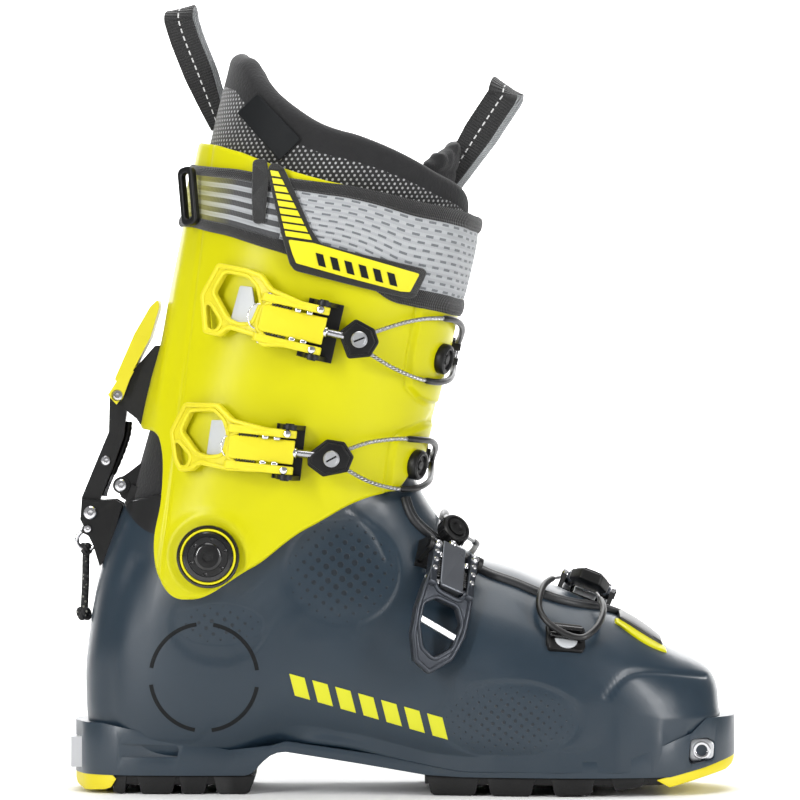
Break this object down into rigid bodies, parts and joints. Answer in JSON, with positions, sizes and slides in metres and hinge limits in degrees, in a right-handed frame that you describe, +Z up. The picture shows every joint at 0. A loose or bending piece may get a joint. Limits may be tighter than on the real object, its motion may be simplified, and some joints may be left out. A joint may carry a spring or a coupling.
{
  "type": "ski touring boot",
  "caption": "Touring ski boot with hinged cuff, walk lever and link, lever buckles with cable hooks, strap, liner and lugged sole",
  "frame": {"origin": "ground plane below the midsole mark, on the sole's centre line", "axes": "+X toward the toe, +Y toward the inner side of a right boot, +Z up"},
  "size_m": [0.3042, 0.1352, 0.3603],
  "materials": {
    "shell": "satin navy",
    "cuff": "gloss yellow-green",
    "black_plastic": "moulded black",
    "rubber": "matt",
    "yellow_rubber": "matt",
    "steel": "polished",
    "alloy": "machined",
    "yellow_lever": "anodised yellow",
    "black_lever": "anodised black",
    "grey_plastic": "moulded grey",
    "liner": "grey dotted mesh over foam",
    "webbing": "woven webbing",
    "cord": "braided, flecked",
    "patch": "soft moulded",
    "insole": "felt",
    "cable": "stranded"
  },
  "bodies": {
    "lower": {"lower_shell": "shell", "sole_frame": "shell", "footbed": "insole", "heel_sole": "rubber", "forefoot_sole": "rubber", "toe_bumper": "yellow_rubber", "heel_bumper": "yellow_rubber", "toe_fittings": "alloy", "heel_fitting": "alloy", "sole_screws": "steel", "instep_seal": "black_plastic", "toe_plug": "grey_plastic", "spoiler": "black_plastic", "lock_bracket": "black_plastic", "liner_foot": "liner", "instep_base": "black_plastic", "instep_catch": "black_plastic", "toe_base": "black_plastic", "toe_catch": "black_plastic", "pivot_hubs": "black_plastic", "pivot_rings": "yellow_lever", "pivot_bolts": "black_plastic", "pull_ring": "steel", "pull_cord": "cord", "cord_knots": "cord"},
    "cuff_body": {"cuff": "cuff", "pivot_bushes": "black_plastic", "cuff_bracket": "black_plastic", "top_pin": "steel", "upper_base": "black_plastic", "lower_base": "black_plastic", "upper_catch": "black_plastic", "lower_catch": "black_plastic", "power_strap": "webbing", "strap_patch": "patch", "strap_loop": "black_plastic", "liner_collar": "liner", "tongue": "liner", "rear_loop": "webbing", "front_loop": "webbing"},
    "link": {"lock_link": "black_lever", "release_wire": "steel"},
    "walk": {"walk_lever": "yellow_lever"},
    "up_lever": {"upper_lever": "yellow_lever"},
    "up_hook": {"upper_block": "yellow_lever", "upper_head": "black_plastic", "upper_cable": "cable"},
    "lo_lever": {"lower_lever": "yellow_lever"},
    "lo_hook": {"lower_block": "yellow_lever", "lower_head": "black_plastic", "lower_cable": "cable"},
    "in_lever": {"instep_lever": "black_lever"},
    "in_hook": {"instep_block": "grey_plastic", "instep_head": "black_plastic", "instep_cable": "cable"},
    "to_lever": {"toe_lever": "black_lever"},
    "to_hook": {"toe_block": "alloy", "toe_head": "black_plastic", "toe_cable": "cable"}
  },
  "joints": [
    {"name": "cuff_flex", "type": "hinge", "parent": "lower", "child": "cuff_body", "pos_m": [-0.0888, 0, 0.1086], "axis": [0, 1, 0], "range_deg": [-15, 2.5]},
    {"name": "link_swing", "type": "hinge", "parent": "cuff_body", "child": "link", "pos_m": [-0.1317, 0, 0.1808], "axis": [0, 1, 0], "range_deg": [-12, 12]},
    {"name": "walk_lever_flip", "type": "hinge", "parent": "cuff_body", "child": "walk", "pos_m": [-0.1317, 0, 0.1808], "axis": [0, -1, 0], "range_deg": [0, 80]},
    {"name": "upper_lever_open", "type": "hinge", "parent": "cuff_body", "child": "up_lever", "pos_m": [-0.0391, -0.068, 0.2107], "axis": [0.225, 0, 0.9744], "range_deg": [0, 100]},
    {"name": "upper_hook_swing", "type": "hinge", "parent": "up_lever", "child": "up_hook", "pos_m": [-0.06248, -0.06474, 0.2161], "axis": [0.225, 0, 0.9744], "range_deg": [-151, 0]},
    {"name": "lower_lever_open", "type": "hinge", "parent": "cuff_body", "child": "lo_lever", "pos_m": [-0.0529, -0.0646, 0.1559], "axis": [0.1045, 0, 0.9945], "range_deg": [0, 100]},
    {"name": "lower_hook_swing", "type": "hinge", "parent": "lo_lever", "child": "lo_hook", "pos_m": [-0.07677, -0.06082, 0.15841], "axis": [0.1045, 0, 0.9945], "range_deg": [-151, 0]},
    {"name": "instep_lever_open", "type": "hinge", "parent": "lower", "child": "in_lever", "pos_m": [0.022, -0.036, 0.109], "axis": [-0.8512, -0.3528, 0.3885], "range_deg": [0, 100]},
    {"name": "instep_hook_swing", "type": "hinge", "parent": "in_lever", "child": "in_hook", "pos_m": [0.0198, -0.04664, 0.09451], "axis": [-0.8512, -0.3528, 0.3885], "range_deg": [-151, 0]},
    {"name": "toe_lever_open", "type": "hinge", "parent": "lower", "child": "to_lever", "pos_m": [0.085, 0.02, 0.0925], "axis": [0.927, -0.0556, -0.3708], "range_deg": [0, 100]},
    {"name": "toe_hook_swing", "type": "hinge", "parent": "to_lever", "child": "to_hook", "pos_m": [0.08331, 0.03367, 0.08622], "axis": [0.927, -0.0556, -0.3708], "range_deg": [-151, 0]}
  ],
  "couplings": [
    {"joint": "link_swing", "follows": "cuff_flex", "ratio": 0.45},
    {"joint": "upper_hook_swing", "follows": "upper_lever_open", "ratio": -1.5},
    {"joint": "lower_hook_swing", "follows": "lower_lever_open", "ratio": -1.5},
    {"joint": "instep_hook_swing", "follows": "instep_lever_open", "ratio": -1.5},
    {"joint": "toe_hook_swing", "follows": "toe_lever_open", "ratio": -1.5}
  ]
}
